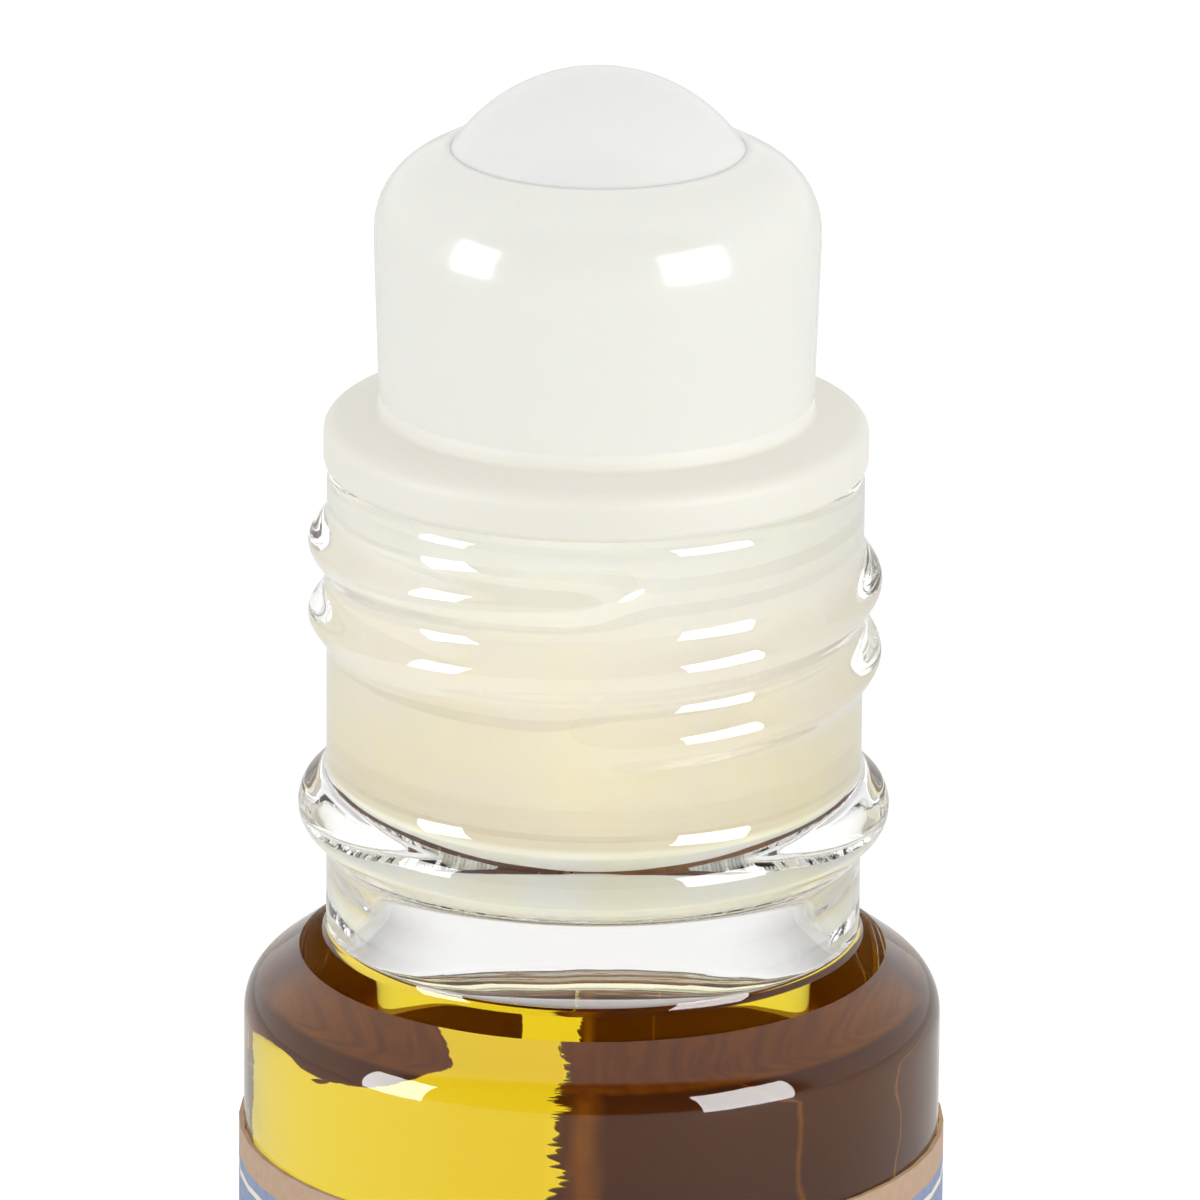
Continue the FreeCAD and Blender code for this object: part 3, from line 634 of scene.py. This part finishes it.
# Roller housing
housing = {
    "waist": 6.34, "foot": 6.17, "footRound": 0.15, "domeCorner": 8.27, "domeRound": 2.25,
    "lipTop": 9.32, "lipWidth": 0.22, "lipRound": 0.08, "clearance": 0.006, "flange": 7.75,
    "flangeThickness": 1.35, "flangeRise": 0.27, "flangeRound": (0.25, 0.45), "plug": 5.55,
    "plugBore": 4.4, "plugTaper": 0.28, "plugTaperHeight": 0.55, "plugRound": (0.1, 0.12, 0.3),
    "underFlangeRound": 0.05, "web": 1.1, "webRound": 0.3, "flowHole": 1.3,
    "ringDrops": (2.1, 5.5, 8.9), "ringHeight": 1.1, "ringCrest": 0.35, "ringRound": 0.1,
    "columns": 192, "arcDegrees": 6.0, "socketRows": 60}


def housingOutline():
    h = housing
    ballLevel = ballCentre.z / mm
    socket = ballRadius + h["clearance"]
    lipTop = rim + h["lipTop"]
    mouth = math.sqrt(socket ** 2 - (lipTop - ballLevel) ** 2)
    web = ballLevel - socket - h["web"]
    corners = [
        (h["flowHole"], web, 0, 0.3),
        (h["plugBore"], web, h["webRound"], 0.5),
        (h["plugBore"], plugEnd, h["plugRound"][0], 0.3),
        (h["plug"] - h["plugTaper"], plugEnd, h["plugRound"][1], 0.2),
        (h["plug"], plugEnd + h["plugTaperHeight"], h["plugRound"][2], 0.3)]
    for drop in reversed(h["ringDrops"]):
        for side, reach in ((-1, h["plug"]), (-1, 0), (1, 0), (1, h["plug"])):
            half = (h["ringHeight"] if reach else h["ringCrest"]) / 2
            corners.append((reach or bottle["bore"] - hair, rim - drop + side * half,
                            h["ringRound"], 0.2))
    corners += [
        (h["plug"], rim + hair, h["underFlangeRound"], 0.4),
        (h["flange"], rim + hair, h["flangeRound"][0], 0.3),
        (h["flange"], rim + h["flangeThickness"], h["flangeRound"][1], 0.2),
        (h["foot"], rim + h["flangeThickness"] + h["flangeRise"], h["footRound"], 0.3),
        (h["waist"], ballLevel, 0, 0.3),
        (h["waist"], rim + h["domeCorner"], h["domeRound"], 0.1),
        (mouth + h["lipWidth"], lipTop, h["lipRound"], 0.05)]
    outline = outlineOf(corners + [(mouth, lipTop, 0, 0.1)], h["arcDegrees"])
    start = math.asin((lipTop - ballLevel) / socket)
    end = -math.acos(h["flowHole"] / socket)
    for k in range(1, h["socketRows"] + 1):
        bend = start + (end - start) * k / h["socketRows"]
        outline.append(Vector((socket * math.cos(bend), ballLevel + socket * math.sin(bend))))
    return outline + [Vector((h["flowHole"], web))]


cup = turnedPiece("rollerHousing", housingOutline(), housingMaterial, housing["columns"])
cup.data.set_sharp_from_angle(angle=math.radians(40))       # the lip's inner edge stays crisp
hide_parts("roller_housing")
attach(cup, "bottle")
print("housing:", len(cup.data.polygons), "faces")

# Roller ball
roller = {"rows": 96, "columns": 160}


def ballOutline():
    level = ballCentre.z / mm
    bends = [math.pi * (k / roller["rows"] - 0.5) for k in range(roller["rows"] + 1)]
    return [Vector((ballRadius * math.cos(bend), level + ballRadius * math.sin(bend)))
            for bend in bends]


ball = turnedPiece("rollerBall", ballOutline(), ballMaterial, roller["columns"])
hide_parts("roller_ball")
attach(ball, "ball")
print("ball:", len(ball.data.polygons), "faces")

# Wrap label: a strip with torn-looking cut ends, seen through the oil
label = {
    "inner": 10.02, "outer": 10.15, "rowStep": 0.07, "columns": 64, "fray": (0.02, 0.09),
    "sway": 0.4, "loose": 0.9, "jitter": 0.75, "tornTop": 0.12, "tornReach": 25.0, "seed": 5}


# A random walk that keeps returning to nought, so an edge wanders without straying
def wander(shape, rows):
    slow, walk = 0.0, []
    for row in range(rows + 1):
        slow = label["loose"] * slow + label["sway"] * shape.uniform(-1, 1)
        walk.append(slow + label["jitter"] * shape.uniform(-1, 1))
    return walk


def makeLabel():
    shape = random.Random(label["seed"])
    tall = labelTop - labelFoot
    rows = round(tall / label["rowStep"])
    frays = [math.degrees(fray / bodyRadius) for fray in label["fray"]]
    edges = [[fray * way for way in wander(shape, rows)] for fray in frays]
    arc = labelGap["from"] + 360 - labelGap["to"]
    shares = [0.5 - 0.5 * math.cos(math.pi * k / label["columns"])
              for k in range(label["columns"] + 1)]
    dips = [shape.uniform(0, 1) ** 2 * label["tornTop"]
            * max(0, 1 - arc * min(share, 1 - share) / label["tornReach"]) for share in shares]
    points, flat = [], []
    for radius in (label["inner"], label["outer"]):
        for row in range(rows + 1):
            first = labelGap["to"] + edges[0][row]
            last = labelGap["from"] + 360 + edges[1][row]
            for share, dip in zip(shares, dips):
                turn = math.radians(first + (last - first) * share)
                z = labelFoot + (tall - dip) * row / rows
                points.append((radius * mm * math.cos(turn), radius * mm * math.sin(turn), z * mm))
                flat.append((turn * bodyRadius * mm, (z - labelFoot) * mm))
    wide, layer = label["columns"] + 1, (rows + 1) * (label["columns"] + 1)
    faces, inward = [], []
    for row in range(rows):
        for column in range(label["columns"]):
            a = row * wide + column
            b = a + layer
            faces += [(a, a + wide, a + wide + 1, a + 1), (b, b + 1, b + wide + 1, b + wide)]
            inward += [1, 0]
        for column in (0, label["columns"]):
            a = row * wide + column
            faces.append((a, a + wide, a + wide + layer, a + layer))
            inward.append(0)
    for row in (0, rows):
        for column in range(label["columns"]):
            a = row * wide + column
            faces.append((a, a + 1, a + 1 + layer, a + layer))
            inward.append(0)
    mesh = bpy.data.meshes.new("wrapLabel")
    mesh.from_pydata(points, [], faces)
    mesh.materials.append(labelFront)
    mesh.materials.append(labelBack)
    for face, back in zip(mesh.polygons, inward):
        face.material_index = back
    place = mesh.uv_layers.new(name="flatLabel")
    for loop in mesh.loops:
        place.data[loop.index].uv = flat[loop.vertex_index]
    faceOutwards(mesh)
    mesh.shade_smooth()
    mesh.set_sharp_from_angle(angle=math.radians(30))           # the cut edges stay crisp
    return addObject("wrapLabel", mesh)


wrap = makeLabel()
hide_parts("wrap_label")
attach(wrap, "bottle")
print("label:", len(wrap.data.polygons), "faces")

# Studio, in metres: pale floor, white surroundings with a dark room in front, two softboxes.
# roomFront is how far a direction points back, roomFoot and overhead how far it points up
studio = {
    "floorSide": 6.0, "floorGlow": 0.36, "ambient": 0.8, "lampLevel": 1.1, "shineLevel": 14.0,
    "lampDistance": 0.6, "shineNearer": 0.9, "roomLevel": 0.08, "roomFront": (-0.35, -0.15),
    "roomFoot": 0.05, "overhead": (0.2, 0.45), "overheadDim": 0.4}
softboxes = (
    {"name": "softboxLeft", "side": -67.0, "wide": 26.0, "low": -12.0, "high": 32.0,
     "shineWide": 0.8, "shineTall": 0.74},
    {"name": "softboxRight", "side": 52.0, "wide": 40.0, "low": -12.0, "high": 32.0,
     "shineWide": 0.75, "shineTall": 0.86})


# White paper under the bottle: matt, white to the camera, and it keeps the bottle's shadow
def makeFloor():
    half = studio["floorSide"] / 2
    mesh = bpy.data.meshes.new("floor")
    mesh.from_pydata([(-half, -half, 0), (half, -half, 0), (half, half, 0), (-half, half, 0)],
                     [], [(0, 1, 2, 3)])
    material, tree = newMaterial("floorPaper")
    path = addNode(tree, "ShaderNodeLightPath").outputs
    looked = addNode(tree, "ShaderNodeMath", {
        0: path["Is Camera Ray"], 1: path["Is Transmission Ray"]}, operation="MAXIMUM")
    glow = addNode(tree, "ShaderNodeMath", {0: looked.outputs[0], 1: studio["floorGlow"]},
                   operation="MULTIPLY")
    shader = addNode(tree, "ShaderNodeBsdfPrincipled", {
        "Base Color": colour("#F2F2F0"), "Roughness": 0.9, "Emission Color": colour("#FFFFFF"),
        "Emission Strength": glow.outputs[0]})
    addNode(tree, "ShaderNodeOutputMaterial", {"Surface": shader.outputs[0]})
    mesh.materials.append(material)
    floor = addObject("floor", mesh)


def makeWorld():
    world = bpy.data.worlds.new("studioRoom")
    bpy.context.scene.world = world
    world.use_nodes = True
    tree = world.node_tree
    tree.nodes.clear()
    path = addNode(tree, "ShaderNodeLightPath").outputs
    toward = addNode(tree, "ShaderNodeTexCoord").outputs["Generated"]
    axis = addNode(tree, "ShaderNodeSeparateXYZ", {0: toward})

    # What gloss mirrors: white, with a dark room in front that draws the edges
    front = addNode(tree, "ShaderNodeMapRange", {
        "Value": axis.outputs["Y"], "From Min": studio["roomFront"][0],
        "From Max": studio["roomFront"][1], "To Min": 1.0, "To Max": 0.0},
        interpolation_type="SMOOTHSTEP")
    above = addNode(tree, "ShaderNodeMapRange", {
        "Value": axis.outputs["Z"], "From Min": 0.0, "From Max": studio["roomFoot"]},
        interpolation_type="SMOOTHSTEP")
    room = addNode(tree, "ShaderNodeMath", {0: front.outputs[0], 1: above.outputs[0]},
                   operation="MULTIPLY")
    seen = addNode(tree, "ShaderNodeMix", {
        "Factor": room.outputs[0], 6: colour("#FFFFFF"),
        7: (studio["roomLevel"], studio["roomLevel"], studio["roomLevel"], 1.0)},
        data_type="RGBA")
    mirrored = addNode(tree, "ShaderNodeBackground", {"Color": seen.outputs[2], "Strength": 1.0})

    # What is looked at, straight or through glass: white, and through glass dimmer overhead
    overhead = addNode(tree, "ShaderNodeMapRange", {
        "Value": axis.outputs["Z"], "From Min": studio["overhead"][0],
        "From Max": studio["overhead"][1], "To Max": studio["overheadDim"]},
        interpolation_type="SMOOTHSTEP")
    unscattered = addNode(tree, "ShaderNodeMath", {0: path["Diffuse Depth"], 1: 0.5},
                          operation="LESS_THAN")
    dimmed = addNode(tree, "ShaderNodeMath", {
        0: path["Is Transmission Ray"], 1: unscattered.outputs[0]}, operation="MULTIPLY")
    dimmed = addNode(tree, "ShaderNodeMath", {0: dimmed.outputs[0], 1: overhead.outputs[0]},
                     operation="MULTIPLY")
    level = addNode(tree, "ShaderNodeMath", {0: 1.0, 1: dimmed.outputs[0]},
                    operation="SUBTRACT")
    looked = addNode(tree, "ShaderNodeBackground", {
        "Color": colour("#FFFFFF"), "Strength": level.outputs[0]})

    # All else is the plain light that falls on the bottle from every side
    plain = addNode(tree, "ShaderNodeBackground", {
        "Color": colour("#FFFFFF"), "Strength": studio["ambient"]})
    mixed = addNode(tree, "ShaderNodeMixShader", {
        0: path["Is Glossy Ray"], 1: plain.outputs[0], 2: mirrored.outputs[0]})
    lookedAt = addNode(tree, "ShaderNodeMath", {
        0: path["Is Camera Ray"], 1: path["Is Transmission Ray"]}, operation="MAXIMUM")
    mixed = addNode(tree, "ShaderNodeMixShader", {
        0: lookedAt.outputs[0], 1: mixed.outputs[0], 2: looked.outputs[0]})
    addNode(tree, "ShaderNodeOutputWorld", {"Surface": mixed.outputs[0]})


# Each softbox is two lamps: one for the light that it gives, one for its reflection
def makeSoftbox(box):
    centre = Vector((0, 0, rim * mm))
    side = math.radians(box["side"])
    lift = math.radians((box["low"] + box["high"]) / 2)
    away = Vector((math.sin(side) * math.cos(lift), -math.cos(side) * math.cos(lift),
                   math.sin(lift)))
    distance = studio["lampDistance"]
    wide = 2 * distance * math.tan(math.radians(box["wide"] / 2))
    tall = 2 * distance * math.tan(math.radians((box["high"] - box["low"]) / 2))
    for use, level, across, up, nearer in (
            ("Light", studio["lampLevel"], 1.0, 1.0, 1.0),
            ("Shine", studio["shineLevel"], box["shineWide"], box["shineTall"],
             studio["shineNearer"])):
        lamp = bpy.data.lights.new(box["name"] + use, "AREA")
        lamp.shape = "RECTANGLE"
        lamp.size = wide * across
        lamp.size_y = tall * up
        lamp.energy = level * math.pi * lamp.size * lamp.size_y
        holder = addObject(box["name"] + use, lamp)
        holder.location = centre + away * distance * nearer
        holder.rotation_euler = (-away).to_track_quat("-Z", "Y").to_euler()
        holder.visible_camera = False
        holder.visible_diffuse = use == "Light"
        holder.visible_glossy = use == "Shine"
        holder.visible_transmission = use == "Light"


# Camera at the photograph's viewing angle, with its slight roll
view = {
    "distance": 430.0, "elevation": 17.9, "roll": 0.435, "pixelsPerMm": 35.1, "frame": 1200,
    "targetDrop": 4.1, "targetSide": 0.14, "sensor": 36.0}


def makeCamera():
    lens = bpy.data.cameras.new("camera")
    lens.sensor_width = view["sensor"]
    lens.lens = view["sensor"] * view["pixelsPerMm"] * view["distance"] / view["frame"]
    lens.clip_start, lens.clip_end = 0.01, 20.0
    camera = addObject("camera", lens)
    tilt = math.radians(view["elevation"])
    target = Vector((view["targetSide"], 0, rim - view["targetDrop"])) * mm
    back = Vector((0, -math.cos(tilt), math.sin(tilt)))
    camera.location = target + back * view["distance"] * mm
    turn = (-back).to_track_quat("-Z", "Y").to_matrix().to_4x4()
    roll = Matrix.Rotation(math.radians(view["roll"]), 4, "Z")
    camera.rotation_euler = (turn @ roll).to_euler()
    bpy.context.scene.camera = camera


makeFloor()
makeWorld()
for box in softboxes:
    makeSoftbox(box)
makeCamera()
scene = bpy.context.scene
scene.view_settings.view_transform = "Standard"
scene.cycles.use_denoising = True
scene.cycles.max_bounces = 24
scene.cycles.transmission_bounces = 24
scene.cycles.transparent_max_bounces = 24
scene.cycles.glossy_bounces = 8
scene.cycles.diffuse_bounces = 6
print("studio ready")
